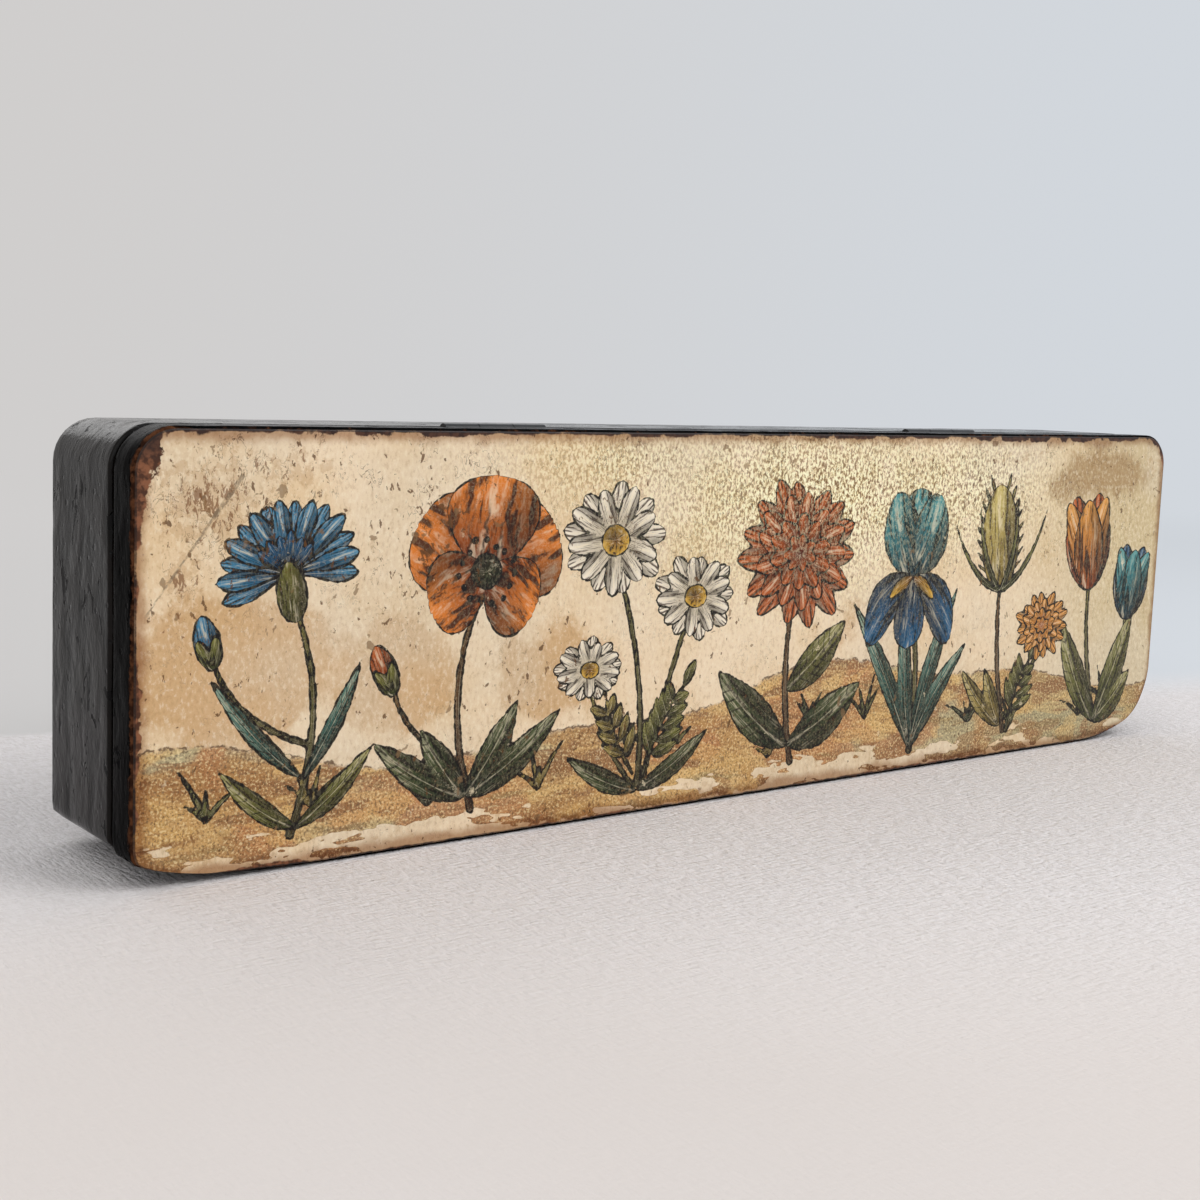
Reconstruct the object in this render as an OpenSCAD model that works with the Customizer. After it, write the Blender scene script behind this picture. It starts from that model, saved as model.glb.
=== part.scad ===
// Pencil box of black lacquered papier-mache with a picture on its hinged lid.
// The box stands on its opening side, hinges up, with the lid facing -Y.
// Every piece is drawn as the box lies on its back with the lid up: x runs along the box,
// y runs across it towards the hinges, and z rises from the bottom panel to the picture.
// stand_up() then turns each piece to the way the box stands.

/* [Box] */
// Length of the box
box_l = 230; // [180:1:300]
// Width across the lid, which is the height of the standing box
box_w = 64; // [52:1:90]
// Depth of the base, from its bottom to the seam
base_d = 23; // [18:0.5:40]
// Depth of the lid, from the seam to the face of the picture
lid_d = 8; // [7.5:0.5:14]
// Radius of the four corners, seen from the front
corner_r = 6.5; // [5.5:0.5:18]

/* [Walls] */
// Thickness of the wound side bands
wall = 3; // [2.6:0.1:4]
// Thickness of the bottom panel
bottom_t = 3; // [2.2:0.1:4]
// Thickness of the lid's top panel
top_t = 2.5; // [1.8:0.1:3]
// Round on the outer edge of the bottom panel
bottom_round = 2; // [0.5:0.1:2]
// Round on the outer edge of the top panel
top_round = 0.5; // [0.3:0.1:1.2]
// Round on the outer edge of the base's rim
base_rim_round = 0.6; // [0.3:0.1:1.5]
// Round on the outer edge of the lid's rim
lid_rim_round = 1.8; // [0.3:0.1:2]
// Gap between the two rims when the box is shut
seam_gap = 0.3; // [0.2:0.05:0.5]

/* [Papers] */
// Thickness of the picture's paper
picture_t = 0.25; // [0.15:0.05:0.4]
// Thickness of the lining papers
lining_t = 0.25; // [0.15:0.05:0.4]
// Margin between a lining and the walls around it
lining_margin = 0.5; // [0.3:0.1:2]

/* [Lip] */
// Thickness of the strip that locates the lid
lip_t = 1.4; // [1.2:0.1:2]
// Depth of the strip that is glued inside the base
lip_glued = 8; // [4:0.5:12]
// Height of the strip above the seam
lip_proud = 3.5; // [2:0.1:4]
// Clearance between the strip and the inside of the lid
lip_clear = 0.3; // [0.25:0.05:0.5]
// Bevel on the outer edge of the strip's tip
lip_bevel = 0.4; // [0.2:0.1:0.6]
// Distance from the hinge wall to the ends of the strip
lip_stop = 8; // [4:0.5:16]

/* [Hinges] */
// Distance between the middles of the two hinges
hinge_spread = 104; // [60:1:130]
// Length of each hinge
hinge_l = 19; // [14:0.5:24]
// Outer radius of the knuckles
barrel_r = 1.1; // [0.9:0.05:1.2]
// Depth of the pin's axis below the outside of the hinge wall
axis_sink = 0.7; // [0.5:0.05:0.9]
// Radius of the hinge pins
pin_r = 0.5; // [0.4:0.05:0.6]
// Running clearance between a pin and the lid's knuckle
pin_clear = 0.05; // [0.02:0.01:0.08]
// Gap between the ends of neighbouring knuckles
knuckle_gap = 0.15; // [0.1:0.05:0.3]
// Clearance around a knuckle that turns past the other half
knuckle_clear = 0.3; // [0.25:0.05:0.4]
// Thickness of the hinge leaves
leaf_t = 0.5; // [0.4:0.05:0.6]
// Length of the base leaf along the inside of the wall
base_leaf = 9; // [6:0.5:12]
// Length of the lid leaf along the inside of the wall
lid_leaf = 4; // [3.4:0.1:4]
// Angle through which the lid opens
lid_swing = 100; // [90:1:105]
// Angle left over in the groove when the lid is fully open
groove_spare = 8; // [6:1:12]
// Depth of the groove below the pin's axis
groove_below = 0.25; // [0.2:0.05:0.4]

/* [Brads] */
// Radius of a brad's shank
brad_r = 0.4; // [0.3:0.05:0.5]
// Depth to which a brad is driven into the wall
brad_l = 2; // [1.5:0.1:2.2]
// Radius of a brad's head
brad_head_r = 0.9; // [0.7:0.1:1.1]
// Thickness of a brad's head
brad_head_t = 0.35; // [0.25:0.05:0.5]
// Distance between the two brads of a leaf
brad_spread = 11; // [8:0.5:11]

/* [Hidden] */
$fn = 64;

LACQUER = "#17151a";
PRINT = "#c9ab70";
LINING = "#7a3b2e";
PASTEBOARD = "#5a4030";
BRASS = "#a58245";
LEFT = -1;
RIGHT = 1;

box_d = base_d + lid_d;
base_rim_z = base_d - seam_gap / 2;
lid_rim_z = base_d + seam_gap / 2;
lip_tip_z = base_d + lip_proud;
top_face_z = box_d - picture_t;
top_inside_z = top_face_z - top_t;
hinge_side_y = box_w / 2;
wall_inside_y = hinge_side_y - wall;
leaf_inside_y = wall_inside_y - leaf_t;
axis_y = hinge_side_y - axis_sink;
inner_r = corner_r - wall;
knuckle_l = hinge_l / 3;
base_brad_z = base_rim_z - (base_leaf + leaf_t) / 2;
lid_brad_z = lid_rim_z + (lid_leaf + leaf_t) / 2;
groove_half_angle = (lid_swing + groove_spare) / 2;
// How far a cutting shape reaches past the face that it cuts
overcut = 1;

module stand_up() {
    translate([0, box_d / 2, box_w / 2]) rotate([90, 0, 0]) children();
}

// Sweeps a profile round a rectangle with round corners. The profile's x is the distance
// from a corner's centre, where r is the outside, and its y is the height.
module swept_frame(l, w, r) {
    for (quarter = [0:3]) {
        across = quarter % 2 == 0 ? l : w;
        along = quarter % 2 == 0 ? w : l;
        rotate(90 * quarter) translate([across / 2 - r, along / 2 - r, 0]) {
            rotate([90, 0, 0]) linear_extrude(along - 2 * r) children();
            rotate_extrude(angle = 90) children();
        }
    }
}

// A flat slab with round corners, whose border has the given profile from its centre out
module swept_slab(l, w, r, t) {
    swept_frame(l, w, r) children();
    translate([r - l / 2, r - w / 2, 0]) cube([l - 2 * r, w - 2 * r, t]);
}

// A sheet of even thickness with square edges
module sheet(l, w, r, t) {
    swept_slab(l, w, r, t) square([r, t]);
}

// A rectangle from the origin with a round on its far upper corner
module rounded_strip(w, t, round_r) {
    difference() {
        square([w, t]);
        translate([w - round_r, t - round_r]) difference() {
            square(round_r + overcut);
            circle(round_r);
        }
    }
}

// A wound side band from z = 0 up to its rim, which is rounded outside
module band(h, round_r) {
    swept_frame(box_l, box_w, corner_r)
        translate([inner_r, 0]) rounded_strip(wall, h, round_r);
}

// A panel from z = 0 up to its face, whose outer edge is rounded
module panel(t, round_r) {
    swept_slab(box_l, box_w, corner_r, t) rounded_strip(corner_r, t, round_r);
}

module along_hinge(from_x, to_x, r) {
    translate([from_x, axis_y, base_d]) rotate([0, 90, 0]) cylinder(r = r, h = to_x - from_x);
}

// The groove along the seam on the hinge side, in which the rims turn
module seam_groove() {
    apex_y = axis_y - groove_below;
    mouth_y = hinge_side_y + overcut;
    half_mouth = (mouth_y - apex_y) * tan(groove_half_angle);
    rotate([90, 0, 90]) linear_extrude(box_l, center = true)
        polygon([
            [apex_y, base_d],
            [mouth_y, base_d - half_mouth],
            [mouth_y, base_d + half_mouth]
        ]);
}

// Room in a rim for one hinge: the barrel, and the leaf where it crosses the rim
module hinge_room(low_z, high_z) {
    along_hinge(-hinge_l / 2 - knuckle_gap, hinge_l / 2 + knuckle_gap, barrel_r + knuckle_clear);
    translate([-hinge_l / 2, wall_inside_y - overcut, low_z])
        cube([hinge_l, wall + 2 * overcut, high_z - low_z]);
}

module at_hinge(side) {
    translate([side * hinge_spread / 2, 0, 0]) children();
}

// The places of a leaf's two brads, at the inside of the wall and pointing into it
module at_brads(z) {
    for (side = [LEFT, RIGHT])
        translate([side * brad_spread / 2, wall_inside_y, z]) rotate([-90, 0, 0]) children();
}

module brad_holes(z) {
    at_brads(z) translate([0, 0, -leaf_t - overcut]) cylinder(r = brad_r, h = brad_l + leaf_t + overcut);
}

module brads(z) {
    at_brads(z) {
        translate([0, 0, -leaf_t]) cylinder(r = brad_r, h = brad_l + leaf_t);
        translate([0, 0, -leaf_t - brad_head_t]) cylinder(r = brad_head_r, h = brad_head_t);
    }
}

// The bent plate of a leaf: across the rim from low_z, and along the wall for the leaf's length
module leaf_plate(rim_low_z, wall_low_z, leaf_l) {
    translate([-hinge_l / 2, leaf_inside_y, rim_low_z])
        cube([hinge_l, axis_y - leaf_inside_y, leaf_t]);
    translate([-hinge_l / 2, leaf_inside_y, wall_low_z]) cube([hinge_l, leaf_t, leaf_l]);
}

// Base leaf with the two outer knuckles, which hold the pin fast
module base_leaf_body() {
    turning = knuckle_l / 2 + knuckle_gap;
    difference() {
        union() {
            leaf_plate(base_rim_z - leaf_t, base_rim_z - base_leaf, base_leaf);
            along_hinge(-hinge_l / 2, hinge_l / 2, barrel_r);
        }
        along_hinge(-turning, turning, barrel_r + knuckle_clear);
        along_hinge(-hinge_l / 2 - overcut, hinge_l / 2 + overcut, pin_r);
        brad_holes(base_brad_z);
    }
}

// Lid leaf with the middle knuckle, which turns on the pin
module lid_leaf_body() {
    difference() {
        leaf_plate(lid_rim_z, lid_rim_z, lid_leaf);
        along_hinge(-hinge_l / 2 - overcut, hinge_l / 2 + overcut, barrel_r + knuckle_clear);
        brad_holes(lid_brad_z);
    }
    difference() {
        union() {
            along_hinge(-knuckle_l / 2, knuckle_l / 2, barrel_r);
            translate([-knuckle_l / 2, leaf_inside_y, lid_rim_z])
                cube([knuckle_l, axis_y - leaf_inside_y, leaf_t]);
        }
        along_hinge(-knuckle_l, knuckle_l, pin_r + pin_clear);
    }
}

module hinge_pin() {
    along_hinge(-hinge_l / 2, hinge_l / 2, pin_r);
}

module base_side_band() {
    color(LACQUER) stand_up() difference() {
        translate([0, 0, bottom_t]) band(base_rim_z - bottom_t, base_rim_round);
        seam_groove();
        for (side = [LEFT, RIGHT]) at_hinge(side) {
            hinge_room(base_rim_z - leaf_t, base_d);
            brad_holes(base_brad_z);
        }
    }
}

module base_bottom_panel() {
    color(LACQUER) stand_up()
        translate([0, 0, bottom_t]) mirror([0, 0, 1]) panel(bottom_t, bottom_round);
}

module base_floor_lining() {
    inset = wall + lining_margin;
    color(LINING) stand_up() translate([0, 0, bottom_t])
        sheet(box_l - 2 * inset, box_w - 2 * inset, corner_r - inset, lining_t);
}

module locating_lip() {
    inside = inner_r - lip_t;
    outside = inner_r - lip_clear;
    glued_z = base_rim_z - lip_glued;
    end_y = wall_inside_y - lip_stop;
    color(PASTEBOARD) stand_up() difference() {
        swept_frame(box_l - 2 * wall, box_w - 2 * wall, inner_r) polygon([
            [inside, glued_z], [inner_r, glued_z], [inner_r, base_rim_z], [outside, base_rim_z],
            [outside, lip_tip_z - lip_bevel], [outside - lip_bevel, lip_tip_z], [inside, lip_tip_z]
        ]);
        translate([-box_l / 2, end_y, 0]) cube([box_l, box_w, box_d]);
    }
}

module lid_side_band() {
    color(LACQUER) stand_up() difference() {
        translate([0, 0, top_inside_z]) mirror([0, 0, 1])
            band(top_inside_z - lid_rim_z, lid_rim_round);
        seam_groove();
        for (side = [LEFT, RIGHT]) at_hinge(side) {
            hinge_room(base_d, lid_rim_z + leaf_t);
            brad_holes(lid_brad_z);
        }
    }
}

module lid_top_panel() {
    color(LACQUER) stand_up() translate([0, 0, top_inside_z]) panel(top_t, top_round);
}

module lid_picture() {
    color(PRINT) stand_up() translate([0, 0, top_face_z])
        sheet(box_l - 2 * top_round, box_w - 2 * top_round, corner_r - top_round, picture_t);
}

module lid_lining() {
    inset = wall + lining_margin;
    color(LINING) stand_up() translate([0, 0, top_inside_z - lining_t])
        sheet(box_l - 2 * inset, box_w - 2 * inset, corner_r - inset, lining_t);
}

module hinge_base_leaf(side) {
    color(BRASS) stand_up() at_hinge(side) base_leaf_body();
}

module hinge_lid_leaf(side) {
    color(BRASS) stand_up() at_hinge(side) lid_leaf_body();
}

module pin(side) {
    color(BRASS) stand_up() at_hinge(side) hinge_pin();
}

module base_brads(side) {
    color(BRASS) stand_up() at_hinge(side) brads(base_brad_z);
}

module lid_brads(side) {
    color(BRASS) stand_up() at_hinge(side) brads(lid_brad_z);
}

base_side_band();
base_bottom_panel();
base_floor_lining();
locating_lip();
lid_side_band();
lid_top_panel();
lid_picture();
lid_lining();
hinge_base_leaf(LEFT);  // left_hinge_base_leaf
hinge_lid_leaf(LEFT);  // left_hinge_lid_leaf
pin(LEFT);  // left_hinge_pin
base_brads(LEFT);  // left_hinge_base_brads
lid_brads(LEFT);  // left_hinge_lid_brads
hinge_base_leaf(RIGHT);  // right_hinge_base_leaf
hinge_lid_leaf(RIGHT);  // right_hinge_lid_leaf
pin(RIGHT);  // right_hinge_pin
base_brads(RIGHT);  // right_hinge_base_brads
lid_brads(RIGHT);  // right_hinge_lid_brads
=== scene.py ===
"""Looks, camera and light for a pencil box of lacquered papier-mache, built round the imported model."""

from functools import partialmethod
from math import asin, atan2, cos, degrees, hypot, pi, radians, sin, tan

import bmesh
import bpy
import numpy as np
from mathutils import Matrix, Vector, noise


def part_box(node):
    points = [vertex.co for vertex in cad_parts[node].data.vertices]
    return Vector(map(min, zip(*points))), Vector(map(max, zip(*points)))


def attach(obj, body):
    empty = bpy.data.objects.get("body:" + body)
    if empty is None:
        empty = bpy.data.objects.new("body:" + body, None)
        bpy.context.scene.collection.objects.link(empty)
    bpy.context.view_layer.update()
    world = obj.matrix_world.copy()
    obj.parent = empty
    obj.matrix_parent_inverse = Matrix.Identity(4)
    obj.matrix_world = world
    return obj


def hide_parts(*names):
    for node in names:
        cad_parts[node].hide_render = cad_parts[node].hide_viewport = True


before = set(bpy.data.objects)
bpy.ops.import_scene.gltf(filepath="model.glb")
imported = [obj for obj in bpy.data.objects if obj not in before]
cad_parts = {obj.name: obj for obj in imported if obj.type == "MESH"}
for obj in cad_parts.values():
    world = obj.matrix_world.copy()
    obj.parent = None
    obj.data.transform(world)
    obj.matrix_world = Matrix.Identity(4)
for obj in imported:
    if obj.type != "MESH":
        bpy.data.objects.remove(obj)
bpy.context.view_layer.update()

# Sizes are in millimetres until a mesh is made.
MM = 0.001

# Repeated from the part's source
CORNER_R = 6.5
WALL = 3.0
TOP_ROUND = 0.5
BASE_RIM_ROUND = 0.6
LID_RIM_ROUND = 1.8
SEAM_HALF = 0.15
HINGE_L = 19.0
LEAF_T = 0.5
AXIS_SINK = 0.7
BARREL_ROOM = 1.4
GROOVE_DEPTH = 0.95
GROOVE_SLOPE = tan(radians(54))
# Where a barrel's room starts in each wall: depth below the rim, and angle round the hinge's axis
BASE_HOLLOW = (1.158, 62.3)
LID_HOLLOW = (LID_RIM_ROUND, 66.0)

# The edge round the bottom, which looks tighter than the part's own
BOTTOM_ROUND = 1.2
# Worn lower corners, as parts of ellipses with half axes (length, height), seen from the front
RIGHT_CORNER = (24.0, 15.0)
LEFT_CORNER = {"base": (30.0, 5.9), "lid": (34.0, 4.8)}
# How fast this wear dies away towards the ellipse's middle
CORNER_FADE = 4
# The right end leans in by this at its foot, and this much of the length bends with it.
END_LEAN = 1.8
LEAN_REACH = 20.0
# The lid's plate is rubbed more at its left end: from this far out, over this length, by this share.
RUB_START = 104.0
RUB_LENGTH = 8.0
LID_RUB = 0.85
# How far wear reaches in from an edge, how deep its knocks are, and how worn a wall's edge is
WEAR_REACH = 1.1
BAND_KNOCK = 0.4
PANEL_KNOCK = 0.5
BAND_WEAR = 0.4
# Unevenness of the hand-made surfaces, as (depth, scale of the noise)
SWELLS = ((0.075, 0.035), (0.06, 0.15), (0.03, (0.55, 0.55, 0.06)))
PAPER_SWELLS = ((0.05, 0.03), (0.03, 0.12))
# Knocks, as (depth, shift and scale of the noise, level above which they show)
KNOCKS = ((0.8, 40.0, 0.11, 0.6), (0.7, 90.0, 0.5, 0.68))
# A flat face becomes uneven over this distance from its edge.
FACE_EASE = 6.0
PAPER_EASE = 5.0

# Spacing of points round a wall along and up, and counts of points in its corners and on its edge
STEP_LONG = 0.8
STEP_TALL = 0.7
ARC_COUNT = 16
EDGE_COUNT = 8
# Half the width of the step in a wall at the ends of a hinge
HINGE_STEP = 0.02
# Points along each run of a wall's outline: outside, rim, inside, joint
BASE_COUNTS = (28, 3, 10, 3)
LID_COUNTS = (8, 3, 5, 3)
# Grids of the plates: columns, rows in the middle, rows in each corner
BOTTOM_GRID = (200, 44, 8)
TOP_GRID = (260, 56, 10)
PICTURE_GRID = (540, 122, 18)
ROUND_COUNT = 9
# Cuts that let the long faces of the inner pieces bend at the worn corners
CUTS_X = range(82, 112, 2)
CUTS_Z = range(4, 16, 2)
# Edges that turn more than this look sharp.
SHARP_ANGLE = 42


def node_box(name):
    """Lowest and highest corner of a CAD node."""
    low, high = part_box(name)
    return np.array(low) / MM, np.array(high) / MM


def end_planes(name, into):
    """Where a CAD node starts and ends along y, seen in one direction."""
    low, high = node_box(name)
    return (low[1], high[1]) if into > 0 else (high[1], low[1])


HALF_L, _, HEIGHT = node_box("base_bottom_panel")[1]
MID_Z = HEIGHT / 2
STRAIGHT_L = HALF_L - CORNER_R
STRAIGHT_H = MID_Z - CORNER_R
HINGE_X = [sum(b[0] for b in node_box(f"{side}_hinge_base_leaf")) / 2 for side in ("left", "right")]


# Meshes

def noise_at(points, scale):
    """Smooth noise from 0 to 1 at each point. scale is per millimetre, alike or for each axis."""
    placed = points * np.asarray(scale)
    return np.array([0.5 + 0.5 * noise.noise(Vector(p)) for p in placed])


def relief(points, swells):
    """Sum of noises, each given as (depth, scale)."""
    return sum(depth * noise_at(points, scale) for depth, scale in swells)


def dents(points):
    """Extra loss along an edge, where the box has been knocked."""
    return sum(depth * np.clip(noise_at(points + shift, scale) - level, 0, 1)
               for depth, shift, scale, level in KNOCKS)


def wear_corner(points, side, ellipse):
    """Draws the lower corner on one side in to an ellipse, and what lies further inside less."""
    long, tall = ellipse
    off = np.column_stack([side * points[:, 0] - HALF_L + long, tall - points[:, 2]])
    near = np.nonzero((off > 1e-6).all(axis=1))[0]
    far = np.hypot(*off[near].T)
    way = off[near] / far[:, None]
    middle = np.array([long - CORNER_R, tall - CORNER_R])
    lead = way @ middle
    reach = lead + np.sqrt(np.maximum(lead ** 2 - middle @ middle + CORNER_R ** 2, 0))
    at_end, at_foot = long / way[:, 0], tall / way[:, 1]
    reach = np.where(at_end * way[:, 1] < middle[1], at_end, reach)
    reach = np.where(at_foot * way[:, 0] < middle[0], at_foot, reach)
    worn = np.minimum(1 / np.hypot(way[:, 0] / long, way[:, 1] / tall), reach)
    pull = (1 - worn / reach) * np.clip(far / reach, 0, 1) ** CORNER_FADE
    points[near, 0] -= side * off[near, 0] * pull
    points[near, 2] += off[near, 1] * pull


def lean_end(points):
    """Leans the outside of the right end in towards its foot."""
    outer = 1 - np.clip(edge_distance(points, CORNER_R) / WALL, 0, 1)
    close = np.clip((points[:, 0] - HALF_L) / LEAN_REACH + 1, 0, 1) ** 2
    points[:, 0] -= END_LEAN * (1 - points[:, 2] / HEIGHT) * outer * close


def add_object(name, data):
    made = bpy.data.objects.new(name, data)
    bpy.context.scene.collection.objects.link(made)
    return made


def make_piece(name, points, faces, body, node, material, flip=False):
    """A smooth closed mesh that stands for a CAD node and rides on its body."""
    lean_end(points)
    wear_corner(points, 1, RIGHT_CORNER)
    wear_corner(points, -1, LEFT_CORNER[body])
    if flip:
        faces = [face[::-1] for face in faces]
    mesh = bpy.data.meshes.new(name)
    mesh.from_pydata((points * MM).tolist(), [], faces)
    mesh.polygons.foreach_set("use_smooth", np.ones(len(mesh.polygons), bool))
    mesh.set_sharp_from_angle(angle=radians(SHARP_ANGLE))
    mesh.materials.append(material)
    piece = add_object(name, mesh)
    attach(piece, body)
    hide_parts(node)
    return piece


def make_worn(name, node, body, material):
    """A CAD node from inside the box, drawn in at the worn corners."""
    planes = [((side * x * MM, 0, 0), (1, 0, 0)) for side in (-1, 1) for x in CUTS_X]
    planes += [((0, 0, z * MM), (0, 0, 1)) for z in CUTS_Z]
    cut = bmesh.new()
    cut.from_mesh(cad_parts[node].data)
    bmesh.ops.remove_doubles(cut, verts=cut.verts[:], dist=1e-6)
    for place, way in planes:
        parts = cut.verts[:] + cut.edges[:] + cut.faces[:]
        bmesh.ops.bisect_plane(cut, geom=parts, plane_co=place, plane_no=way)
    cut.verts.index_update()
    points = np.array([vertex.co for vertex in cut.verts]) / MM
    faces = [tuple(vertex.index for vertex in face.verts) for face in cut.faces]
    cut.free()
    make_piece(name, points, faces, body, node, material)


def store(piece, name, values):
    """Keeps a number, a vector or a colour for each vertex."""
    values = np.asarray(values, np.float32)
    kinds = {1: ("FLOAT", "value"), 3: ("FLOAT_VECTOR", "vector"), 4: ("FLOAT_COLOR", "color")}
    kind, field = kinds[1 if values.ndim == 1 else values.shape[1]]
    attribute = piece.data.attributes.new(name, kind, "POINT")
    attribute.data.foreach_set(field, values.ravel())


def side_points(start, end, step):
    """Evenly spaced numbers from start, without the end."""
    count = max(1, round(abs(end - start) / step))
    return np.linspace(start, end, count, endpoint=False)


def band_stations():
    """Points on the rectangle of the corners' centres, and the way out from each, all round the box."""
    a, b = STRAIGHT_L, STRAIGHT_H
    steps = (-HINGE_STEP, HINGE_STEP)
    ends = [x + side * HINGE_L / 2 + step for x in HINGE_X for side in (-1, 1) for step in steps]
    top_x = np.array(sorted([*side_points(a, -a, STEP_LONG), *ends], reverse=True))
    arc = np.linspace(0, pi / 2, ARC_COUNT, endpoint=False)
    runs = (
        (a, side_points(-b, b, STEP_TALL), 0.0), (a, b, arc),
        (top_x, b, pi / 2), (-a, b, arc + pi / 2),
        (-a, side_points(b, -b, STEP_TALL), pi), (-a, -b, arc + pi),
        (side_points(-a, a, STEP_LONG), -b, 1.5 * pi), (a, -b, arc + 1.5 * pi),
    )
    x, z, angle = np.hstack([np.broadcast_arrays(*run) for run in runs])
    return np.column_stack([x, z]), np.column_stack([np.cos(angle), np.sin(angle)])


def round_edge(size):
    turn = np.linspace(0, pi / 2, EDGE_COUNT)
    return np.column_stack([CORNER_R - size + size * np.cos(turn), size - size * np.sin(turn)])


def groove_edge():
    """The slope into the groove along the seam on the hinge side."""
    across = np.linspace(0, 1, EDGE_COUNT)
    sink = GROOVE_DEPTH - SEAM_HALF / GROOVE_SLOPE
    run = GROOVE_DEPTH * GROOVE_SLOPE - SEAM_HALF
    return np.column_stack([CORNER_R - sink * across, run * (1 - across)])


def hinge_edge(start_depth, start_angle):
    """Room for a hinge's barrel, from the outside of the wall to the seat of the leaf."""
    low = LEAF_T + SEAM_HALF
    end_angle = pi - asin(low / BARREL_ROOM)
    turn = np.linspace(radians(start_angle), end_angle, EDGE_COUNT - 2)
    hollow = np.column_stack([
        CORNER_R - AXIS_SINK + BARREL_ROOM * np.cos(turn),
        BARREL_ROOM * np.sin(turn) - SEAM_HALF,
    ])
    start = np.array([CORNER_R, start_depth])
    return np.vstack([start, (start + hollow[0]) / 2, hollow])


def band_profile(edge, depth, counts):
    """Outline of a wall, as distance out and depth below the rim: outside, edge, rim, inside, joint."""
    outside, rim, inside, joint = counts
    inner = CORNER_R - WALL
    rim_depth = edge[-1][1]
    runs = [
        np.linspace((CORNER_R, depth), edge[0], outside, endpoint=False),
        edge[:-1],
        np.linspace(edge[-1], (inner, rim_depth), rim, endpoint=False),
        np.linspace((inner, rim_depth), (inner, depth), inside, endpoint=False),
        np.linspace((inner, depth), (CORNER_R, depth), joint, endpoint=False),
    ]
    return np.vstack(runs)


def band_rows(centres, ways, edge_round, has_groove, hollow, depth, counts):
    """The wall's outline at each station: plain, sloped into the groove, or with room for a hinge."""
    plain = round_edge(edge_round)
    grooved = groove_edge() if has_groove else plain
    at_hinge = band_profile(hinge_edge(*hollow), depth, counts)
    rows = []
    for centre, way in zip(centres, ways):
        below_top = MID_Z - centre[1] - CORNER_R * way[1]
        share = np.clip(1 - below_top / GROOVE_DEPTH, 0, 1)
        near = min(abs(centre[0] - x) for x in HINGE_X)
        if way[1] > 0.999 and near < HINGE_L / 2:
            rows.append(at_hinge)
        else:
            rows.append(band_profile(plain + share * (grooved - plain), depth, counts))
    return np.array(rows)


def make_band(name, node, body, into, edge_round, has_groove, hollow, counts, material):
    """A wound wall. into is the way from the rim into the piece, along y."""
    rim_y, joint_y = end_planes(node, into)
    depth = abs(joint_y - rim_y)
    centres, ways = band_stations()
    rows = band_rows(centres, ways, edge_round, has_groove, hollow, depth, counts)
    count, ring = rows.shape[:2]
    out, deep = rows[..., 0], rows[..., 1]
    y = rim_y + into * deep

    def place(out):
        x = centres[:, None, 0] + ways[:, None, 0] * out
        z = MID_Z + centres[:, None, 1] + ways[:, None, 1] * out
        return np.stack([x, y, z], -1).reshape(-1, 3)

    points = place(out)
    outside = np.tile(np.arange(ring) < counts[0] + EDGE_COUNT - 1, count).astype(float)
    edge_share = np.exp(-deep / WEAR_REACH).ravel() * outside
    loss = relief(points, SWELLS) * outside + dents(points) * edge_share * BAND_KNOCK
    points = place(out - loss.reshape(count, ring))
    step = np.arange(count) * ring
    after = np.roll(step, -1)
    faces = []
    for k in range(ring):
        n = (k + 1) % ring
        faces += np.column_stack([step + k, after + k, after + n, step + n]).tolist()
    piece = make_piece(name, points, faces, body, node, material, into < 0)
    store(piece, "edge_wear", edge_share * BAND_WEAR)


def face_grid(corner, columns, middle_rows, arc_rows):
    """Rows of points that fill a rectangle with round corners, from the bottom row to the top one."""
    turn = np.linspace(pi / 2, 0, arc_rows, endpoint=False)
    low, reach = -STRAIGHT_H - corner * np.sin(turn), STRAIGHT_L + corner * np.cos(turn)
    middle = np.linspace(-STRAIGHT_H, STRAIGHT_H, middle_rows + 1)
    z = np.concatenate([low, middle, -low[::-1]])
    half = np.concatenate([reach, np.full(len(middle), STRAIGHT_L + corner), reach[::-1]])
    x = half[:, None] * np.linspace(-1, 1, columns + 1)
    return x, np.repeat(z[:, None], columns + 1, axis=1)


def rim_loop(rows, columns):
    """Numbers of a grid's outer points, in order round it."""
    grid = np.arange(rows * columns).reshape(rows, columns)
    return np.concatenate([grid[0, :-1], grid[:-1, -1], grid[-1, :0:-1], grid[:0:-1, 0]])


def slab_mesh(corner, grid, face_y, rings):
    """A plate: a face of many points, rings given as (distance out from the face's edge, y), and a cap."""
    x, z = face_grid(corner, *grid)
    face = np.column_stack([x.ravel(), np.full(x.size, face_y), z.ravel()])
    loop = rim_loop(*x.shape)
    edge = face[loop][:, [0, 2]]
    straight = np.array([STRAIGHT_L, STRAIGHT_H])
    way = (edge - np.clip(edge, -straight, straight)) / corner
    points, ring_faces, last = [face], [], loop
    count = len(loop)
    for k, (out, y) in enumerate(rings):
        placed = edge + way * out
        points.append(np.column_stack([placed[:, 0], np.full(count, y), placed[:, 1]]))
        new = len(face) + count * k + np.arange(count)
        ring_faces += np.column_stack([np.roll(last, -1), last, new, np.roll(new, -1)]).tolist()
        last = new
    number = np.arange(x.size).reshape(x.shape)
    corners = [number[:-1, :-1], number[:-1, 1:], number[1:, 1:], number[1:, :-1]]
    faces = np.stack(corners, -1).reshape(-1, 4).tolist() + ring_faces
    faces.append(last[::-1].tolist())
    points = np.vstack(points)
    points[:, 2] += MID_Z
    ways = np.vstack([np.zeros((len(face), 2))] + [way] * len(rings))
    return points, faces, ways, len(face), loop


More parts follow.
